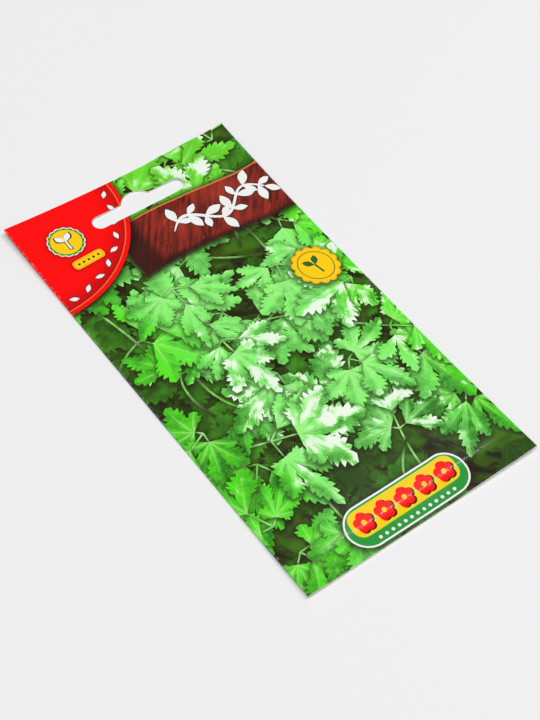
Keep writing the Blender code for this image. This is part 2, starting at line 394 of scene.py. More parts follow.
def addSprayStem(place, heading):
    forward = headed(heading)
    aside = np.array([forward[1], -forward[0]])
    length = draw.uniform(14, 28)
    away = place - forward * length + aside * draw.uniform(-10, 10)
    addStem(away, place - forward * length * 0.5, place, 1.3, 0.8, fade=(length * 0.3, length * 0.95))


# Three leaves on short stalks at the end of a stem
def addSpray(place, heading, size, tone, gloss):
    group = ("spray", len(shapes))

    def stalkTo(tip):
        addStem(place, (place + tip) / 2, tip, 0.8, 0.6, group)

    for side in draw.sample((-1, 1), 2):
        spread = draw.uniform(0.85, 1.35)
        stalk = draw.uniform(0.10, 0.28) * size
        swing = heading + side * spread
        tip = place + stalk * headed(swing)
        stalkTo(tip)
        addLeaf(tip, swing - side * 0.15, size * draw.uniform(0.72, 0.95), "leaf",
                tone + draw.uniform(-0.15, 0.1), gloss * draw.uniform(0.3, 1))
    tip = place + draw.uniform(0.15, 0.4) * size * headed(heading)
    stalkTo(tip)
    addLeaf(tip, heading + draw.uniform(-0.2, 0.2), size, "leaf", tone, gloss)


def addFoliage():
    addShape(boxRing(-bleedReach, bleedReach, -halfLength - 1, halfLength + 1), "undergrowth")

    def cells(size):
        across = math.ceil(packetWidth / size)
        along = math.ceil(packetLength / size)
        places = [
            ((i + 0.5) / across * packetWidth - halfWidth, (j + 0.5) / along * packetLength - halfLength)
            for i in range(across) for j in range(along)]
        draw.shuffle(places)
        return places

    def jittered(place, by):
        return (place[0] + draw.uniform(-by, by), place[1] + draw.uniform(-by, by))

    for place in cells(foliage["deepCell"]):
        if draw.random() < 0.75:
            addLeaf(jittered(place, 5), draw.uniform(0, 2 * math.pi), draw.uniform(*foliage["deepLength"]),
                    "deepLeaf", draw.uniform(0.1, 0.6) + 0.3 * place[1] / halfLength, 0, casts=0.3)
    places = [(np.array(jittered(place, foliage["jitter"])), draw.uniform(0, 2 * math.pi))
              for place in cells(foliage["cell"])]
    places = [(spot, heading) for spot, heading in places
              if all(math.dist(spot, (x, y)) > reach for x, y, reach in foliage["clearings"])]
    for spot, heading in places:
        if draw.random() < 0.6:
            addSprayStem(spot, heading)
    for k, (spot, heading) in enumerate(places):
        level = k / len(places)
        size = draw.uniform(*foliage["leafLength"])
        tone = 0.49 + 0.32 * level + 0.10 * spot[1] / halfLength + draw.uniform(-0.22, 0.2)
        tone += foliage["rightLift"] * float(smoothStep((spot[0] - 14) / 16))
        gloss = draw.uniform(0.9, 1.3) if draw.random() < 0.55 else draw.uniform(0.1, 0.7)
        addSpray(spot, heading, size, tone, gloss * (0.6 + 0.4 * level))


corner = {  # the red field in the corner, and what lies on it
    "reach": 37.5,
    "seal": (-26.8, 60.6),
    "sealHalf": 5.3,
    "scallops": 16,
    "tag": (-24.8, 51.4),
    "tagSize": (10.5, 3.4),
    "tagTurn": 0.05,
    "leafReach": 33.2,
    "leaves": 9,
}


def addSprout(place, size, ink, grow=0.0, angle=0.0):
    up = headed(angle)
    root = np.array(place) - up * size * 0.48
    crown = np.array(place) + up * size * 0.02
    stem = curveLine(root - up * grow, (root + crown) / 2, crown, 4)
    addShape(bandRing(stem, [size * 0.1 + 2 * grow] * 5), ink)
    for side in (-1, 1):
        addShape(petalRing(crown - up * grow, size * 0.56 + 2 * grow, size * 0.3 + 2 * grow,
                           angle + math.pi / 2 + side * 0.72, 10, 0.55), ink)


def addCorner():
    middle, reach = np.array((-halfWidth, halfLength)), corner["reach"]
    addShape(roundRing(middle, reach, 120), "redInk", casts=0.95, castReach=1.5)
    addShape(roundRing(middle, reach - 1.3, 120), "orangeLine")
    addShape(roundRing(middle, reach - 1.6, 120), "cornerInk")
    for k in range(corner["leaves"]):
        turn = math.radians(-84 + 78 * k / (corner["leaves"] - 1))
        tilt = turn + math.pi / 2 + (0.55 if k % 2 else -0.55)
        base = middle + corner["leafReach"] * pointing(turn) - 1.5 * pointing(tilt)
        addShape(petalRing(base - 0.25 * pointing(tilt), 3.6, 2.0, tilt), "darkInk")
        addShape(petalRing(base, 3.1, 1.45, tilt), "whiteInk")
    seal, half, scallops = corner["seal"], corner["sealHalf"], corner["scallops"]
    addShape(roundRing(seal, half * 1.03, 96, scallops, 0.07), "whiteInk", casts=0.5)
    addShape(roundRing(seal, half * 0.97, 96, scallops, 0.07), "greenInk")
    addShape(roundRing(seal, half * 0.90, 64), "yellowInk")
    for ink, grow in (("darkInk", 0.28), ("whiteInk", 0)):
        addSprout((seal[0], seal[1] + 0.1), half * 1.25, ink, grow)
    tag, turn, (across, along) = corner["tag"], corner["tagTurn"], corner["tagSize"]
    addShape(barRing(tag, across, along, 1.2, turn), "yellowInk", casts=0.4)
    addShape(barRing(tag, across - 0.7, along - 0.7, 0.9, turn), "orangeLine")
    addShape(barRing(tag, across - 1.0, along - 1.0, 0.8, turn), "yellowInk")
    for k in range(5):
        addShape(roundRing(turned([((k - 2) * 1.7, 0)], turn, tag)[0], 0.42, 14), "darkInk")


band = {  # the grained band across the header
    "left": -14,
    "top": 56.6,
    "bottom": 36.2,
    "wave": 1.1,
    "waveLength": 62,
    "line": 0.5,
    "vineStart": 2.5,
    "vineEnd": 36,
    "vineY": 46.2,
    "vineWave": 3.6,
    "vineTurns": 1.5,
    "vinePoints": 48,
    "leafSpread": 0.95,
}


def addBand():
    x = evenly(band["left"], bleedReach + 1, 40)
    wave = band["wave"] * np.sin(2 * math.pi * (x - band["left"]) / band["waveLength"])

    def strip(high):
        lower = np.stack([x, band["bottom"] + wave], 1)
        upper = np.stack([x, high + wave], 1)[::-1]
        return np.concatenate([lower, upper])

    addShape(strip(band["top"]), "orangeLine", casts=0.95, castReach=1.7)
    addShape(strip(band["top"] - band["line"]), "grainInk")
    start, end = band["vineStart"], band["vineEnd"]
    t = evenly(0, 1, band["vinePoints"])
    swing = 2 * math.pi * band["vineTurns"] * t
    line = np.stack([start + (end - start) * t, band["vineY"] + band["vineWave"] * np.sin(swing)], 1)
    slope = np.gradient(line, axis=0)
    headings = [math.atan2(rise, run) for run, rise in slope]
    for ink, grow in (("darkInk", 0.32), ("whiteInk", 0)):

        def addVineLeaf(base, size, breadth, angle):
            addShape(petalRing(base, size + 2 * grow, breadth + 2 * grow, angle, 12, 0.55), ink)

        addShape(bandRing(line, np.minimum(1.25, 0.35 + 6 * t) - 0.55 * t + 2 * grow), ink)
        for k in range(4, band["vinePoints"], 6):
            for side in (-1, 1):
                angle = headings[k] + side * band["leafSpread"]
                size = 6.6 if (k // 6 + (side > 0)) % 2 else 5.0
                addVineLeaf(line[k] - pointing(angle) * grow, size, size * 0.46, angle)
        addVineLeaf(line[-1] - (grow, 0), 5.4, 2.5, headings[-1])


badge = {"place": (29.5, 11.6), "half": 6.9, "scallops": 14}


def addBadge():
    place, half, scallops = badge["place"], badge["half"], badge["scallops"]
    addShape(roundRing(place, half, 140, scallops, 0.12), "amberInk", casts=0.8, castReach=0.9)
    addShape(roundRing(place, half * 0.95, 140, scallops, 0.12), "yellowInk")
    addShape(roundRing(place, half * 0.83, 72), "darkGreenInk")
    addShape(roundRing(place, half * 0.79, 72), "yellowInk")
    addSprout((place[0] - 0.1, place[1] + 0.1), half * 1.05, "darkGreenInk", 0, 0.2)


plaque = {
    "place": (-0.4, -66.4),
    "size": (41, 13),
    "panelUp": 1.35,
    "flowers": 5,
    "flowerPitch": 7.0,
    "flowerHalf": 3.05,
    "dots": 13,
    "dotPitch": 2.15,
    "dotsDown": 4.55,
}


def addFlower(place, half, ink, grow=0.0):
    for k in range(5):
        petal = place + half * 0.55 * pointing(math.pi / 2 + k * 2 * math.pi / 5)
        addShape(roundRing(petal, half * 0.45 + grow, 24), ink)


def addPlaque():
    x, y = plaque["place"]
    across, along = plaque["size"]
    panel = (x, y + plaque["panelUp"])
    addShape(barRing((x, y), across, along, along / 2, facets=16), "whiteInk", casts=0.85, castReach=1.3)
    addShape(barRing((x, y), across - 1.1, along - 1.1, along / 2 - 0.55, facets=16), "greenInk")
    addShape(barRing(panel, across - 4.6, along - 4.8, 3.2), "limeLine")
    addShape(barRing(panel, across - 5.0, along - 5.2, 3.0), "yellowInk")
    for k in range(plaque["flowers"]):
        spot = np.array([x + (k - (plaque["flowers"] - 1) / 2) * plaque["flowerPitch"], y + 1.3])
        addFlower(spot + (0.32, -0.32), plaque["flowerHalf"], "darkInk", 0.16)
        addFlower(spot, plaque["flowerHalf"], "redInk")
        addShape(roundRing(spot, 0.75, 18), "yellowInk")
    for k in range(plaque["dots"]):
        spot = (x + (k - (plaque["dots"] - 1) / 2) * plaque["dotPitch"], y - plaque["dotsDown"])
        addShape(roundRing(spot, 0.52, 14), "whiteInk")


back = {
    "headerDown": 54.5,
    "stripe": (52.9, 53.9),
    "ruleStart": -34,
    "ruleEnd": 33,
    "ruleTop": 24,
    "rulePitch": 3.4,
    "rules": 12,
    "gridPlace": (-0.5, -38),
    "gridSize": (66, 15),
    "months": 12,
    "sun": (-22, 39),
    "sunRays": 12,
    "drop": (0, 33.8),
    "leaves": (22, 34.5),
}


# Long sides need points between their ends, or the mesh loses those that start outside the sheet
def finely(ring, pitch=1.0):
    points = []
    for a, b in zip(ring, np.roll(ring, -1, axis=0)):
        count = max(1, math.ceil(math.dist(a, b) / pitch))
        points += [a + (b - a) * k / count for k in range(count)]
    return np.array(points)


# The same shape on both flaps, so that it runs on across the seam
def addBackShape(ring, ink):
    ring = finely(np.asarray(ring, float))
    for reach in (-flatReach, flatReach):
        addShape(np.stack([reach - ring[:, 0], ring[:, 1]], 1), ink, face="back")


def addBack():
    edge = halfWidth + 2
    addBackShape(boxRing(-edge, edge, back["headerDown"], halfLength + 2), "greenInk")
    addBackShape(boxRing(-edge, edge, *back["stripe"]), "yellowInk")
    ruleDraw = random.Random(31)
    for k in range(back["rules"]):
        y = back["ruleTop"] - k * back["rulePitch"]
        start = back["ruleStart"]
        end = back["ruleEnd"] - (ruleDraw.uniform(10, 34) if k % 4 == 3 else 0)
        addBackShape(barRing(((start + end) / 2, y), end - start, 0.5, 0.2, facets=2), "greyInk")
    x, y = back["gridPlace"]
    across, along = back["gridSize"]

    def monthLine(month):
        return x - across / 2 + across * month / back["months"]

    addBackShape(barRing((x, y), across + 0.8, along + 0.8, 1.0), "greenInk")
    addBackShape(barRing((x, y), across, along, 0.8), "paleInk")
    for month in range(1, back["months"]):
        addBackShape(barRing((monthLine(month), y), 0.3, along, 0.1, facets=1), "greenInk")
    addBackShape(barRing((x, y), across, 0.3, 0.1, facets=1), "greenInk")
    for first, last, row, ink in ((3, 6, 1, "greenInk"), (6, 11, -1, "amberInk")):
        left, right = monthLine(first), monthLine(last)
        addBackShape(barRing(((left + right) / 2, y + row * along / 4), right - left, along * 0.26, 0.7), ink)
    sun = np.array(back["sun"])
    for k in range(back["sunRays"]):
        turn = k * 2 * math.pi / back["sunRays"]
        addBackShape(petalRing(sun + 3.9 * pointing(turn), 3.2, 1.2, turn, 6), "amberInk")
    addBackShape(roundRing(sun, 3.3, 40), "amberInk")
    addBackShape(petalRing(back["drop"], 11, 7, math.pi / 2, 18, 0.32), "greenInk")
    x, y = back["leaves"]
    for k in (-1, 0, 1):
        angle = math.pi / 2 - 0.45 * k
        addBackShape(petalRing((x + 3.2 * k, y), 9 - 1.5 * abs(k), 3.4, angle, 14), "greenInk")


# The mesh of the opened sheet: every visible outline of the print is an edge in it
def visiblePrintEdges():
    points = np.concatenate([shape["ring"] for shape in shapes])
    order = np.concatenate([np.full(len(shape["ring"]), k) for k, shape in enumerate(shapes)])
    hidden = (points[:, 0] < sheetStart) | (points[:, 0] > sheetEnd) | (np.abs(points[:, 1]) > halfLength)
    fromFront = np.array([shapes[k]["face"] == "front" for k in order])
    hidden |= (np.abs(points[:, 0]) <= bleedReach) != fromFront
    for k, shape in enumerate(shapes):
        hidden[caughtIn(points, shape["ring"], (order < k) & ~hidden)] = True
    edges = []
    start = 0
    for shape in shapes:
        count = len(shape["ring"])
        pairs = [(start + k, start + (k + 1) % count) for k in range(count)]
        edges += [(a, b) for a, b in pairs if not (hidden[a] and hidden[b])]
        start += count
    return points, edges


def upright(s, pitch):
    y = evenly(-halfLength, halfLength, math.ceil(packetLength / pitch))
    return np.stack([np.full(len(y), s), y], 1)


def foldLines(pitch):
    places = [-flatReach - sheet["seamLeft"] + sheet[name] for name in ("jog", "clearance")]
    for side in (-1, 1):
        places += [side * s for s in evenly(foldX, foldX + turnLength, sheet["foldFacets"])]
        places.append(side * bleedReach)
    return [upright(s, pitch) for s in places]


def borderLines():
    across = evenly(sheetStart, sheetEnd, math.ceil((sheetEnd - sheetStart) / 2))
    lines = [np.stack([across, np.full(len(across), y)], 1) for y in (-halfLength, halfLength)]
    lines += [upright(s, 2) for s in (sheetStart, sheetEnd)]
    return lines + [np.concatenate([ring, ring[:1]]) for ring in (slotRing(), slotRing(mirrored=True))]


def staggeredDots(start, end, pitch):
    across = max(1, round((end - start) / pitch))
    along = round(packetLength / (pitch * 0.87))
    step = (end - start) / across
    return np.array([
        (start + step * (i + (0.3 if j % 2 else 0.7)), -halfLength + packetLength * j / along)
        for j in range(1, along) for i in range(across)])


# Triangles over given points and edges, further lines, and dots between them
def sheetMesh(points, edges, lines, frontPitch, backPitch):
    used, edges = np.unique(edges, return_inverse=True)
    blocks = [points[used]]
    edges = edges.reshape(-1, 2).tolist()
    count = len(used)
    for line in lines:
        edges += [(count + k, count + k + 1) for k in range(len(line) - 1)]
        blocks.append(line)
        count += len(line)
    blocks.append(staggeredDots(-foldX, foldX, frontPitch))
    blocks.append(staggeredDots(sheetStart, -foldX - turnLength, backPitch))
    blocks.append(staggeredDots(foldX + turnLength, sheetEnd, backPitch))
    spots = [Vector(spot) for spot in np.concatenate(blocks).tolist()]
    made = delaunay_2d_cdt(spots, edges, [], 0, 1e-4, False)
    flat = np.array([tuple(spot) for spot in made[0]])
    triangles = np.array([face for face in made[2] if len(face) == 3])
    centre = flat[triangles].mean(axis=1)
    keep = (centre[:, 0] > sheetStart) & (centre[:, 0] < sheetEnd) & (np.abs(centre[:, 1]) < halfLength)
    for ring in (slotRing(), slotRing(mirrored=True)):
        keep &= ~insideRing(centre, ring)
    step = flat[triangles[:, 1:]] - flat[triangles[:, :1]]
    area = step[:, 0, 0] * step[:, 1, 1] - step[:, 0, 1] * step[:, 1, 0]
    triangles[area < 0] = triangles[area < 0][:, ::-1]
    used, triangles = np.unique(triangles[keep & (np.abs(area) > 1e-7)], return_inverse=True)
    return flat[used], triangles.reshape(-1, 3)


# The topmost shape at each triangle's middle
def ownersOf(flat, triangles):
    centre = flat[triangles].mean(axis=1)
    onFront = np.abs(centre[:, 0]) < bleedReach
    owner = np.full(len(triangles), -1)
    for k, shape in enumerate(shapes):
        owner[caughtIn(centre, shape["ring"], onFront == (shape["face"] == "front"))] = k
    return owner


printLight = np.array([0.35, 0.5])  # printed shadows fall the other way, in millimetres


# How deep each corner lies in the printed shadow of shapes above its own
def shadeOf(flat, triangles, owner):
    cornersAndOwners = np.stack([triangles.ravel(), np.repeat(owner, 3)], 1)
    pairs, sources = np.unique(cornersAndOwners, axis=0, return_inverse=True)
    spot = flat[pairs[:, 0]]
    mine = pairs[:, 1]
    shade = np.zeros(len(pairs))
    numbers = {name: k for k, name in enumerate(dict.fromkeys(shape["group"] for shape in shapes))}
    groupOf = np.array([numbers[shape["group"]] for shape in shapes] + [-1])
    for k, shape in enumerate(shapes):
        if not shape["casts"]:
            continue
        reach, ring = shape["castReach"], shape["ring"]
        moved = spot + printLight * min(1, reach)
        near = (mine < k) & (mine >= 0) & (groupOf[mine] != groupOf[k]) & besideRing(moved, ring, 2.5 * reach)
        index = np.nonzero(near)[0]
        distance = distanceToRing(moved[index], ring)
        distance[insideRing(moved[index], ring)] = 0
        shade[index] = np.maximum(shade[index], shape["casts"] * np.exp(-((distance / reach) ** 2)))
    for k, shape in enumerate(shapes):
        if shape["fade"]:
            end, near, far = shape["fade"]
            index = np.nonzero(mine == k)[0]
            away = np.linalg.norm(spot[index] - end, axis=1)
            shade[index] = np.maximum(shade[index], 0.9 * smoothStep((away - near) / (far - near)))
    return shade[sources.ravel()]


# For each corner, its place in its lobe with the leaf's fold, and its tone, gloss and shade
def leafCorners(flat, triangles, owner, shade):
    place = np.zeros((len(shade), 3))
    tone = np.zeros((len(shade), 3))
    tone[:, 2] = shade
    cornerOwner = np.repeat(owner, 3)
    spots = flat[triangles.ravel()]
    for k, shape in enumerate(shapes):
        leaf = shape["leaf"]
        if leaf:
            index = np.nonzero(cornerOwner == k)[0]
            place[index, :2] = sheetToLobe(spots[index], leaf) * leaf["size"]
            place[index, 2] = leaf["fold"]
            tone[index, 0] = leaf["tone"] + leaf["slope"] * (place[index, 1] / leaf["size"] - 0.5)
            tone[index, 1] = leaf["gloss"]
    return place, tone


# Shader nodes. Each is added to the tree of the socket that it works on.

def link(value, socket):
    if isinstance(value, bpy.types.NodeSocket):
        socket.id_data.links.new(value, socket)
    else:
        socket.default_value = value


def addNode(tree, kind, inputs=(), **settings):
    node = tree.nodes.new("ShaderNode" + kind)
    for name, value in settings.items():
        setattr(node, name, value)
    for name, value in dict(inputs).items():
        link(value, node.inputs[name])
    return node


def worked(operation, *values, clamp=False):
    tree = next(value.id_data for value in values if isinstance(value, bpy.types.NodeSocket))
    return addNode(tree, "Math", dict(enumerate(values)), operation=operation, use_clamp=clamp).outputs[0]


# Only the last step of a sum is clamped
def plus(first, *others, clamp=False):
    for k, value in enumerate(others):
        first = worked("ADD", first, value, clamp=clamp and k == len(others) - 1)
    return first


def minus(first, *others):
    for value in others:
        first = worked("SUBTRACT", first, value)
    return first


def times(first, *others):
    for value in others:
        first = worked("MULTIPLY", first, value)
    return first


def apart(first, second):
    return worked("ABSOLUTE", minus(first, second))


def rangeOf(value, low, high, toLow=0.0, toHigh=1.0, kind="SMOOTHSTEP"):
    ends = {"Value": value, "From Min": low, "From Max": high, "To Min": toLow, "To Max": toHigh}
    return addNode(value.id_data, "MapRange", ends, interpolation_type=kind).outputs["Result"]


def mixed(share, first, second):
    return addNode(share.id_data, "Mix", {0: share, 6: first, 7: second}, data_type="RGBA").outputs[2]


def noiseAt(place, scale, detail=2.0, roughness=0.5, distortion=0.0):
    settings = {"Scale": scale, "Detail": detail, "Roughness": roughness, "Distortion": distortion}
    return addNode(place.id_data, "TexNoise", {"Vector": place, **settings}).outputs["Fac"]


# Noise that swings this far either way of nothing
def driftAt(place, swing, *noise):
    return times(minus(noiseAt(place, *noise), 0.5), swing)


# A place measured in steps of these sizes, along axes turned by an angle
def stretched(place, sizes, turn=0.0):
    inputs = {"Vector": place, "Scale": sizes, "Rotation": (0, 0, turn)}
    return addNode(place.id_data, "Mapping", inputs, vector_type="TEXTURE").outputs["Vector"]


def parts(vector):
    return addNode(vector.id_data, "SeparateXYZ", {0: vector}).outputs


def attribute(tree, name):
    return addNode(tree, "Attribute", attribute_name=name).outputs["Vector"]


def newGroup(name, inputs, outputs, kind="Float"):
    tree = bpy.data.node_groups.new(name, "ShaderNodeTree")
    for title, value in inputs.items():
        given = isinstance(value, str)
        socketKind = "NodeSocket" + (value if given else "Float")
        socket = tree.interface.new_socket(name=title, in_out="INPUT", socket_type=socketKind)
        if not given:
            socket.default_value = value
    for title in outputs:
        tree.interface.new_socket(name=title, in_out="OUTPUT", socket_type="NodeSocket" + kind)
    return tree, tree.nodes.new("NodeGroupInput").outputs, tree.nodes.new("NodeGroupOutput").inputs


def placed(group, place, **values):
    return addNode(place.id_data, "Group", {"Place": place, **values}, node_tree=group).outputs


def makePaperCoat():
    # the satin coat of the print: slightly uneven gloss and a very fine surface
    settings = {"Place": "Vector", "Gloss": 0.34, "Unevenness": 0.06, "Wear": 0.0}
    tree, inputs, outputs = newGroup("paperCoat", settings, ("Roughness", "Height"))
    place = inputs["Place"]
    uneven = times(driftAt(place, inputs["Unevenness"], 0.11, 3), 2.0)
    rough = plus(inputs["Gloss"], uneven, times(inputs["Wear"], 0.3), clamp=True)
    link(rough, outputs["Roughness"])
    low, fine = noiseAt(place, 0.5, 2), noiseAt(place, 3.2, 3, 0.6)
    link(plus(times(low, 0.8), times(fine, 0.2)), outputs["Height"])
    return tree


def makeInkLay():
    # how an ink sits on the paper: mottle, the printed shadow of shapes above, and worn spots with the
    # painted highlight along the folds
    settings = {"Colour": "Color", "Place": "Vector", "Shade": 0.0, "Wear": 0.0, "Mottle": 0.08}
    tree, inputs, outputs = newGroup("inkLay", settings, ("Colour",), "Color")
    light = plus(1.0, times(driftAt(inputs["Place"], inputs["Mottle"], 1.4, 3, 0.65), 2.0))
    colour = addNode(tree, "HueSaturation", {"Color": inputs["Colour"], "Value": light}).outputs[0]
    colour = mixed(inputs["Shade"], colour, (0.018, 0.006, 0.003, 1))
    # worn spots and the painted fold highlight turn the ink pale
    link(mixed(inputs["Wear"], colour, (0.80, 0.79, 0.75, 1)), outputs["Colour"])
    return tree


def makeEdgeWear():
    # where the print is rubbed thin in scuffs along the bottom seal, and a pale line along the two folds that
    # is partly worn ink and partly a painted highlight on the fold's shoulder
    settings = {"Place": "Vector", "Fold": foldX, "Breadth": 0.25, "Scuff Line": -65.6}
    tree, inputs, outputs = newGroup("edgeWear", settings, ("Wear",))
    place = inputs["Place"]
    s, y, _ = parts(place)
    # painted highlight and worn ink in a broken line along each fold
    line = rangeOf(apart(worked("ABSOLUTE", s), inputs["Fold"]), inputs["Breadth"], 0.05)
    line = times(line, rangeOf(noiseAt(place, 0.9, 4, 0.7), 0.46, 0.70, 0.0, 0.4))
    near = apart(plus(y, driftAt(place, 1.2, 0.12, 1)), inputs["Scuff Line"])
    # a fine row of dots, and wider scratches in a few places on it
    dots = times(rangeOf(noiseAt(place, 2.6, 1), 0.50, 0.62), rangeOf(near, 0.32, 0.12))
    scratches = rangeOf(noiseAt(stretched(place, (1, 0.5, 1), 0.5), 1.5, 4, 0.75), 0.55, 0.62)
    scratches = times(scratches, rangeOf(near, 1.0, 0.3))
    patch = rangeOf(noiseAt(place, 0.11, 1), 0.54, 0.60)
    scuff = worked("MAXIMUM", dots, times(scratches, patch))
    scuff = times(scuff, rangeOf(worked("ABSOLUTE", s), 32.0, 27.0, 0, 0.6))
    link(worked("MAXIMUM", line, scuff, clamp=True), outputs["Wear"])
    return tree


def makeLeafVeins():
    # a midrib and slanting side veins, from the place in the lobe in millimetres
    settings = {"Place": "Vector", "Pitch": foliage["toothPitch"], "Midrib": 0.16, "Fine": 0.09}
    tree, inputs, outputs = newGroup("leafVeins", settings, ("Veins", "Net", "Side", "Quilt", "Glow"))
    place = inputs["Place"]
    across, along, fold = parts(place)
    across = plus(across, driftAt(place, 0.35, 0.6, 1))
    away = worked("ABSOLUTE", across)
    flare = times(inputs["Midrib"], rangeOf(along, 1, 11, 1.9, 0.75, "LINEAR"))
    rib = rangeOf(away, flare, times(flare, 0.3))
    slant = plus(minus(along, times(away, 1.5)), times(noiseAt(place, 0.35, 1), 1.6))
    halfPitch = times(inputs["Pitch"], 0.5)
    phase = worked("PINGPONG", slant, halfPitch)
    side = rangeOf(phase, times(inputs["Fine"], 1.7), times(inputs["Fine"], 0.4))
    side = times(side, rangeOf(away, 2.6, 0.4), 0.5)
    veins = times(worked("MAXIMUM", rib, side), rangeOf(along, 13, 1, 0.25, 1))
    link(veins, outputs["Veins"])
    # the blade swells between two side veins, and is pale near its base and along the rib
    link(rangeOf(worked("DIVIDE", phase, halfPitch), 0, 0.8), outputs["Quilt"])
    spread = rangeOf(along, 0, 12, 1.5, 0.5, "LINEAR")
    link(times(rangeOf(away, spread, 0), rangeOf(along, 13, 1)), outputs["Glow"])
    net = addNode(tree, "TexVoronoi", {"Vector": place, "Scale": 1.3}, feature="DISTANCE_TO_EDGE")
    link(rangeOf(net.outputs["Distance"], 0.10, 0.02), outputs["Net"])
    tilt = worked("MINIMUM", times(across, fold, 1.6), 1.0)
    link(worked("MAXIMUM", tilt, -1.0), outputs["Side"])
    return tree


paperCoat = makePaperCoat()
inkLay = makeInkLay()
edgeWear = makeEdgeWear()
leafVeins = makeLeafVeins()


def newMaterial(name, colour=(0.8, 0.8, 0.8, 1), roughness=0.4):
    material = bpy.data.materials.new(name)
    material.use_nodes = True
    tree = material.node_tree
    shader = tree.nodes["Principled BSDF"]
    shader.inputs["Base Color"].default_value = colour
    shader.inputs["Roughness"].default_value = roughness
    shader.inputs["Specular IOR Level"].default_value = 0.16
    return material, tree, shader


# The height of the bump is in millimetres
def raised(height, shader, strength, distance):
    inputs = {"Height": height, "Strength": strength, "Distance": distance * mm}
    link(addNode(height.id_data, "Bump", inputs).outputs[0], shader.inputs["Normal"])


def grainColour(place):
    streaks = noiseAt(stretched(place, (17, 1.7, 1), math.radians(52)), 1.0, 5, 0.62, 0.3)
    broad = noiseAt(place, 0.06)
    colour = mixed(rangeOf(streaks, 0.36, 0.70), (0.070, 0.010, 0.008, 1), (0.36, 0.030, 0.014, 1))
    colour = mixed(rangeOf(broad, 0.42, 0.72, 0, 0.5), colour, (0.46, 0.050, 0.028, 1))
    sparks = noiseAt(stretched(place, (6, 0.5, 1), math.radians(48)), 1.0)
    colour = mixed(rangeOf(sparks, 0.66, 0.74, 0, 0.5), colour, (0.80, 0.16, 0.04, 1))
    # darker towards its lower and left edges
    s, y, _ = parts(place)
    swing = worked("SINE", times(minus(s, band["left"]), 2 * math.pi / band["waveLength"]))
    above = minus(y, band["bottom"], times(swing, band["wave"]))
    inside = worked("MINIMUM", above, times(plus(s, 8.5), 0.6))
    return mixed(rangeOf(inside, 2.6, 0.2, 0, 0.85), colour, (0.030, 0.008, 0.007, 1))


# Red that darkens towards the curved edge
def cornerColour(place):
    s, y, _ = parts(place)
    down = minus(halfLength, y)
    aside = plus(s, halfWidth)
    away = worked("SQRT", plus(times(down, down), times(aside, aside)))
    drift = times(noiseAt(place, 0.12, 1), 5.0)
    dark = rangeOf(plus(away, drift), corner["reach"] - 6.0, corner["reach"] + 3.5, 0, 0.85)
    return mixed(dark, (1.0, 0.001, 0.001, 1), (0.30, 0.001, 0.001, 1))


def undergrowthColour(place):
    broad = noiseAt(place, 0.10, 2, 0.5, 0.6)
    small = noiseAt(stretched(place, (2, 4, 1), 0.7), 0.55, 3, 0.55, 1.0)
    colour = mixed(rangeOf(small, 0.35, 0.68), (0.014, 0.012, 0.003, 1), (0.040, 0.085, 0.006, 1))
    return mixed(rangeOf(broad, 0.48, 0.68, 0, 0.75), colour, (0.060, 0.19, 0.008, 1))


def deepLeafColour(place):
    tree = place.id_data
    tone = parts(attribute(tree, "leafTone"))[0]
    veins = placed(leafVeins, attribute(tree, "leafPlace"))
    level = plus(tone, driftAt(place, 1.1, 0.28), times(veins["Side"], 0.10), clamp=True)
    colour = mixed(level, (0.024, 0.065, 0.005, 1), (0.070, 0.36, 0.018, 1))
    return mixed(times(veins["Veins"], 0.15), colour, (0.12, 0.33, 0.08, 1))


leafInks = {
    "pureDark": (0.012, 0.15, 0.001, 1),
    "pureLight": (0.09, 0.80, 0.005, 1),
    "header": (0.20, 0.80, 0.03, 1),
    # leaf greens made paler by the painted sheen over the middle and right
    "sheenWashedDark": (0.020, 0.21, 0.008, 1),
    "sheenWashedLight": (0.26, 0.92, 0.17, 1),
    "pureGlow": (0.22, 0.88, 0.04, 1),
    "sheenWashedGlow": (0.36, 0.92, 0.24, 1),
    "pureSheen": (0.30, 0.92, 0.12, 1),
    "sheenWashedHighlight": (0.42, 0.94, 0.32, 1),
    "shine": (0.88, 0.96, 0.83, 1),
    "net": (0.30, 0.80, 0.28, 1),
    "veins": (0.45, 0.90, 0.34, 1),
}


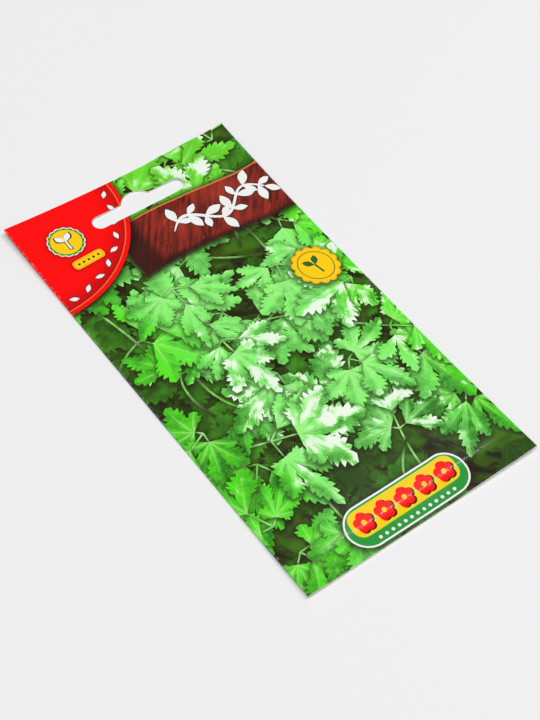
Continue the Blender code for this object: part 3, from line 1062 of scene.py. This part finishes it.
def leafColour(place):
    tree = place.id_data
    inLeaf = attribute(tree, "leafPlace")
    s, y, _ = parts(place)
    along = parts(inLeaf)[1]
    tone, gloss, shade = parts(attribute(tree, "leafTone"))
    veins = placed(leafVeins, inLeaf)
    quilt = minus(veins["Quilt"], 0.5)
    level = plus(tone, driftAt(place, 1.3, 0.34, 3, 0.6, 0.3), times(veins["Side"], 0.22), times(quilt, 0.16))
    level = plus(level, rangeOf(along, 3, 15, 0.10, -0.16), clamp=True)
    # painted sheen: the leaves are paler mint in the middle and on the right, as a broad gloss reflection
    # would leave them; purer green along the edges and in the header
    paintedSheen = rangeOf(plus(apart(s, 5.0), driftAt(place, 26, 0.05, 1)), 35, 19)
    header = rangeOf(y, 50, 58)
    paintedSheen = times(paintedSheen, minus(1.0, header))
    pure = mixed(level, leafInks["pureDark"], leafInks["pureLight"])
    pure = mixed(times(header, 0.55), pure, leafInks["header"])
    colour = mixed(paintedSheen, pure, mixed(level, leafInks["sheenWashedDark"], leafInks["sheenWashedLight"]))
    glow = mixed(paintedSheen, leafInks["pureGlow"], leafInks["sheenWashedGlow"])
    colour = mixed(times(veins["Glow"], 0.55), colour, glow)
    # patches where the leaf mirrors the sky, none in the shadow of another leaf, and more of them on the
    # right and under the painted sheen
    streak = noiseAt(stretched(inLeaf, (1.3, 4.5, 0.27)), 1.0, 2, 0.45, 0.3)
    cloud = noiseAt(place, 0.17, 2, 0.45, 0.5)
    streak = plus(times(streak, 0.33), times(cloud, 0.67), times(veins["Side"], 0.05), times(quilt, 0.03))
    line = minus(rangeOf(s, -22, 26, 0.64, 0.565, "LINEAR"), times(gloss, 0.20))
    shine = times(
        rangeOf(streak, line, plus(line, 0.17)),
        rangeOf(worked("MAXIMUM", paintedSheen, rangeOf(s, 8, 22)), 0, 1, 0.7, 1.0),
        rangeOf(y, -66, -50, 0.3, 1.0),
        rangeOf(shade, 0.45, 0.05))
    sheen = mixed(paintedSheen, leafInks["pureSheen"], leafInks["sheenWashedHighlight"])
    colour = mixed(rangeOf(shine, 0, 0.6, 0, 0.8), colour, sheen)
    colour = mixed(rangeOf(shine, 0.40, 1.0), colour, leafInks["shine"])
    colour = mixed(times(veins["Net"], 0.12), colour, leafInks["net"])
    return mixed(times(veins["Veins"], 0.48), colour, leafInks["veins"])


def stemColour(place):
    return mixed(rangeOf(noiseAt(place, 0.22), 0.35, 0.65), (0.14, 0.52, 0.06, 1), (0.40, 0.80, 0.27, 1))


# A colour, or the function that works it out from the place on the sheet, and its mottle
inks = {
    "redInk": ((1.0, 0.001, 0.001, 1), 0.08),
    "yellowInk": ((0.98, 0.62, 0.005, 1), 0.08),
    "amberInk": ((0.92, 0.36, 0.01, 1), 0.08),
    "orangeLine": ((0.75, 0.20, 0.06, 1), 0.08),
    "greenInk": ((0.022, 0.31, 0.040, 1), 0.08),
    "limeLine": ((0.35, 0.72, 0.05, 1), 0.08),
    "darkGreenInk": ((0.03, 0.13, 0.03, 1), 0.08),
    "whiteInk": ((0.88, 0.88, 0.86, 1), 0.08),
    "darkInk": ((0.030, 0.012, 0.008, 1), 0.08),
    "greyInk": ((0.22, 0.22, 0.21, 1), 0.08),
    "paleInk": ((0.72, 0.83, 0.66, 1), 0.08),
    "backInk": ((0.84, 0.84, 0.80, 1), 0.08),
    "cornerInk": (cornerColour, 0.04),
    "grainInk": (grainColour, 0.1),
    "undergrowth": (undergrowthColour, 0.12),
    "deepLeaf": (deepLeafColour, 0.1),
    "leaf": (leafColour, 0.06),
    "stem": (stemColour, 0.08),
}


def makeInk(name, colour, mottle):
    material, tree, shader = newMaterial(name)
    place = attribute(tree, "sheetPlace")
    wearAndHighlight = placed(edgeWear, place)["Wear"]
    shade = parts(attribute(tree, "leafTone"))[2]
    if callable(colour):
        colour = colour(place)
    laid = placed(inkLay, place, Colour=colour, Shade=shade, Wear=wearAndHighlight, Mottle=mottle)
    link(laid["Colour"], shader.inputs["Base Color"])
    coat = placed(paperCoat, place, Wear=wearAndHighlight)
    link(coat["Roughness"], shader.inputs["Roughness"])
    raised(coat["Height"], shader, 0.35, 0.02)
    return material


def makePaper(name, colour, fibre):
    material, tree, shader = newMaterial(name, roughness=0.8)
    strands = noiseAt(stretched(attribute(tree, "sheetPlace"), (1, 3, 1)), 3.0, 4, 0.7)
    link(mixed(rangeOf(strands, 0.35, 0.7), colour, fibre), shader.inputs["Base Color"])
    raised(strands, shader, 0.5, 0.03)
    return material


materials = {name: makeInk(name, colour, mottle) for name, (colour, mottle) in inks.items()}
materials["cutEdge"] = makePaper("cutEdge", (0.94, 0.93, 0.93, 1), (0.88, 0.86, 0.86, 1))
materials["innerPaper"] = makePaper("innerPaper", (0.80, 0.79, 0.75, 1), (0.72, 0.70, 0.65, 1))
print("inks and papers mixed:", len(materials))


def addToScene(name, data):
    thing = bpy.data.objects.new(name, data)
    bpy.context.scene.collection.objects.link(thing)
    return thing


def makePacketSheet():
    printPoints, printEdges = visiblePrintEdges()
    print("visible print outline:", len(printEdges), "edges")
    lines = borderLines() + foldLines(1.5)
    flat, triangles = sheetMesh(printPoints, printEdges, lines, sheet["pitch"], sheet["backPitch"])
    owner = ownersOf(flat, triangles)
    print("opened sheet:", len(triangles), "triangles")
    shade = shadeOf(flat, triangles, owner)
    place, tone = leafCorners(flat, triangles, owner, shade)
    print("printed shadows laid")

    edges = np.concatenate([triangles[:, [0, 1]], triangles[:, [1, 2]], triangles[:, [2, 0]]])
    _, first, uses = np.unique(np.sort(edges, axis=1), axis=0, return_index=True, return_counts=True)
    rim = edges[first[uses == 1]]

    # the inner side has the same border and far fewer points
    pitch = sheet["innerPitch"]
    innerFlat, innerTriangles = sheetMesh(flat, rim, foldLines(pitch), pitch, pitch)
    outerCount = len(flat)
    match = {tuple(np.round(p, 4)): outerCount + k for k, p in enumerate(innerFlat)}
    below = {k: match[tuple(np.round(flat[k], 4))] for k in np.unique(rim)}
    faces = triangles.tolist() + (innerTriangles[:, [0, 2, 1]] + outerCount).tolist()
    faces += [(b, a, below[a], below[b]) for a, b in rim.tolist()]

    mesh = bpy.data.meshes.new("packetSheet")
    points = np.concatenate([foldSheet(flat, 0.0), foldSheet(innerFlat, sheet["paper"])])
    mesh.from_pydata((points * mm).tolist(), [], faces)
    names = list(materials)
    for material in materials.values():
        mesh.materials.append(material)
    index = [names.index(shapes[k]["ink"] if k >= 0 else "backInk") for k in owner]
    index += [names.index("innerPaper")] * len(innerTriangles) + [names.index("cutEdge")] * len(rim)
    mesh.polygons.foreach_set("material_index", index)

    places = np.zeros((len(mesh.vertices), 3))
    places[:, :2] = np.concatenate([flat, innerFlat])
    mesh.attributes.new("sheetPlace", "FLOAT_VECTOR", "POINT").data.foreach_set("vector", places.ravel())
    for name, values in (("leafPlace", place), ("leafTone", tone)):
        full = np.zeros((len(mesh.loops), 3))
        full[:len(values)] = values
        mesh.attributes.new(name, "FLOAT_VECTOR", "CORNER").data.foreach_set("vector", full.ravel())
    layOutUv(mesh, flat[triangles.ravel()], innerFlat[innerTriangles[:, [0, 2, 1]].ravel()], flat[rim])
    mesh.shade_smooth()
    mesh.set_sharp_from_angle(angle=math.radians(40))
    mesh.update()
    return addToScene("packetSheet", mesh)


# The printed side, the inner side and the cut edges lie one above the other in the square
uvPlan = {
    "left": 0.02,
    "width": 0.96,
    "printed": 0.01,  # where each strip starts
    "inner": 0.87,
    "bottomEdge": 0.94,
    "topEdge": 0.951,
    "startEdge": 0.962,
    "endEdge": 0.973,
    "slotEdge": 0.984,
    "innerHeight": 0.06,
    "edgeHeight": 0.008,
    "slotWidth": 0.44,  # of each slot's strip
    "secondSlot": 0.48,
}


def layOutUv(mesh, printed, inside, rimEnds):
    scale = uvPlan["width"] / (sheetEnd - sheetStart)

    def across(points):
        return uvPlan["left"] + (points[:, 0] - sheetStart) * scale

    def upAlong(points):
        return points[:, 1] + halfLength

    innerScale = uvPlan["innerHeight"] / packetLength
    rows = [np.stack([across(printed), uvPlan["printed"] + upAlong(printed) * scale], 1),
            np.stack([across(inside), uvPlan["inner"] + upAlong(inside) * innerScale], 1)]
    for ends in rimEnds[:, ::-1]:
        x, y = ends.mean(axis=0)
        if abs(abs(y) - halfLength) < 1e-3:
            u, low = across(ends), uvPlan["bottomEdge" if y < 0 else "topEdge"]
        elif min(abs(x - sheetStart), abs(x - sheetEnd)) < 1e-3:
            u, low = uvPlan["left"] + upAlong(ends) * scale, uvPlan["startEdge" if x < 0 else "endEdge"]
        else:
            onFront = abs(x) < foldX
            away = ends - (0 if onFront else -flatReach, slotY + 0.5)
            turn = np.arctan2(away[:, 1], away[:, 0]) / (2 * math.pi) + 0.5
            if abs(turn[0] - turn[1]) > 0.5:
                turn = np.where(turn < 0.5, turn + 1, turn)
            u = uvPlan["left"] + (0 if onFront else uvPlan["secondSlot"]) + turn * uvPlan["slotWidth"]
            low = uvPlan["slotEdge"]
        high = low + uvPlan["edgeHeight"]
        rows.append([(u[0], low), (u[1], low), (u[1], high), (u[0], high)])
    mesh.uv_layers.new(name="OFBake").data.foreach_set("uv", np.concatenate(rows).ravel())


addFoliage()
addBand()
addCorner()
addBadge()
addPlaque()
addBack()
print("print laid out:", len(shapes), "shapes")

packetSheet = makePacketSheet()
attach(packetSheet, "root")
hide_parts("packet_paper")
print("packet sheet folded:", len(packetSheet.data.polygons), "faces")


# The pieces that stay as the frame has them

def objectPlace(tree):
    return addNode(tree, "TexCoord").outputs["Object"]


def makeAdhesive():
    material, tree, shader = newMaterial("adhesive", roughness=0.45)
    cloud = noiseAt(objectPlace(tree), 900, 3)
    link(mixed(cloud, (0.84, 0.80, 0.70, 1), (0.70, 0.65, 0.54, 1)), shader.inputs["Base Color"])
    link(rangeOf(cloud, 0.3, 0.7, 0.38, 0.55), shader.inputs["Roughness"])
    raised(cloud, shader, 0.3, 0.03)
    return material


def makeSeedSkin():
    material, tree, shader = newMaterial("seedSkin", roughness=0.75)
    place = objectPlace(tree)
    ribs = noiseAt(stretched(place, (1, 0.25, 1), 0.6), 1500)
    colour = mixed(noiseAt(place, 700, 3), (0.22, 0.15, 0.08, 1), (0.42, 0.32, 0.19, 1))
    colour = mixed(rangeOf(ribs, 0.5, 0.62, 0, 0.6), colour, (0.55, 0.47, 0.32, 1))
    link(colour, shader.inputs["Base Color"])
    raised(ribs, shader, 0.5, 0.05)
    return material


finishes = dict.fromkeys(("back_seam_seal", "top_seal", "bottom_seal"), makeAdhesive())
finishes["seeds"] = makeSeedSkin()
for name, material in finishes.items():
    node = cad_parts[name]
    node.data.materials.clear()
    node.data.materials.append(material)
print("frame pieces finished")


# The pale surface, the light and the camera
studio = {
    "floorSize": 4.0,
    "floorDrop": 0.02,  # millimetres below the packet
    "floorColour": (0.86, 0.86, 0.86, 1),
    "fadeStart": 0.35,  # metres from the packet
    "fadeEnd": 0.9,
    "worldLow": 0.27,
    "worldSeen": 0.86,
}
lights = {  # azimuth, elevation, distance, size and power
    "keyLight": (82, 58, 1.6, 0.8, 7.2),
    "topLight": (-60, 78, 2.2, 1.8, 29.0),
}
cameraView = {
    "azimuth": -42.03,  # degrees
    "elevation": 53.34,
    "roll": 6.23,
    "target": (-2.35, -7.96, 0),  # millimetres
    "distance": 435.3,
    "lens": 76.54,
}


def towards(azimuth, elevation):
    a, e = math.radians(azimuth), math.radians(elevation)
    return Vector((math.sin(a) * math.cos(e), -math.cos(a) * math.cos(e), math.sin(e)))


def makeFloor():
    material, tree, shader = newMaterial("paleSurface", studio["floorColour"], 0.9)
    link(rangeOf(noiseAt(objectPlace(tree), 400), 0.3, 0.7, 0.88, 0.94), shader.inputs["Roughness"])
    geometry = addNode(tree, "NewGeometry").outputs

    def either(share, first, second):
        return addNode(tree, "MixShader", {0: share, 1: first, 2: second}).outputs[0]

    # far away the surface runs into the backdrop, and from below it lets the packet's back show
    distance = addNode(tree, "VectorMath", {0: geometry["Position"]}, operation="LENGTH").outputs["Value"]
    seen = addNode(tree, "LightPath").outputs["Is Camera Ray"]
    away = rangeOf(distance, studio["fadeStart"], studio["fadeEnd"])
    backdrop = addNode(tree, "Emission", {"Strength": studio["worldSeen"]}).outputs[0]
    surface = either(times(away, seen), shader.outputs[0], backdrop)
    surface = either(geometry["Backfacing"], surface, addNode(tree, "BsdfTransparent").outputs[0])
    link(surface, tree.nodes["Material Output"].inputs["Surface"])
    half = studio["floorSize"] / 2
    mesh = bpy.data.meshes.new("paleSurface")
    mesh.from_pydata([(x, y, 0) for x, y in boxRing(-half, half, -half, half)], [], [(0, 1, 2, 3)])
    mesh.materials.append(material)
    floor = addToScene("paleSurface", mesh)
    floor.location.z = cadBox[0].z - studio["floorDrop"] * mm


def makeWorld():
    world = bpy.data.worlds.new("studioWorld")
    world.use_nodes = True
    background = world.node_tree.nodes["Background"]
    background.inputs["Color"].default_value = (1, 1, 1, 1)
    seen = addNode(world.node_tree, "LightPath").outputs["Is Camera Ray"]
    strength = rangeOf(seen, 0, 1, studio["worldLow"], studio["worldSeen"], "LINEAR")
    link(strength, background.inputs["Strength"])
    bpy.context.scene.world = world


def addSoftLight(name, azimuth, elevation, distance, size, power):
    light = bpy.data.lights.new(name, "AREA")
    light.shape = "DISK"
    light.size = size
    light.energy = power
    lamp = addToScene(name, light)
    way = towards(azimuth, elevation)
    lamp.location = way * distance
    lamp.rotation_euler = way.to_track_quat("Z", "Y").to_euler()


def makeCamera():
    view = cameraView
    way = towards(view["azimuth"], view["elevation"])
    right = Vector((0, 0, 1)).cross(way).normalized()
    up = way.cross(right)
    roll = math.radians(view["roll"])
    right, up = right * math.cos(roll) + up * math.sin(roll), up * math.cos(roll) - right * math.sin(roll)
    data = bpy.data.cameras.new("camera")
    data.lens = view["lens"]
    data.clip_start = 0.01
    camera = addToScene("camera", data)
    matrix = camera.matrix_world.to_3x3()
    for column, axis in enumerate((right, up, way)):
        for row in range(3):
            matrix[row][column] = axis[row]
    camera.matrix_world = matrix.to_4x4()
    camera.location = Vector(view["target"]) * mm + way * view["distance"] * mm
    bpy.context.scene.camera = camera


makeFloor()
makeWorld()
bpy.context.scene.view_settings.view_transform = "Standard"
for name, setting in lights.items():
    addSoftLight(name, *setting)
makeCamera()
print("studio set up")
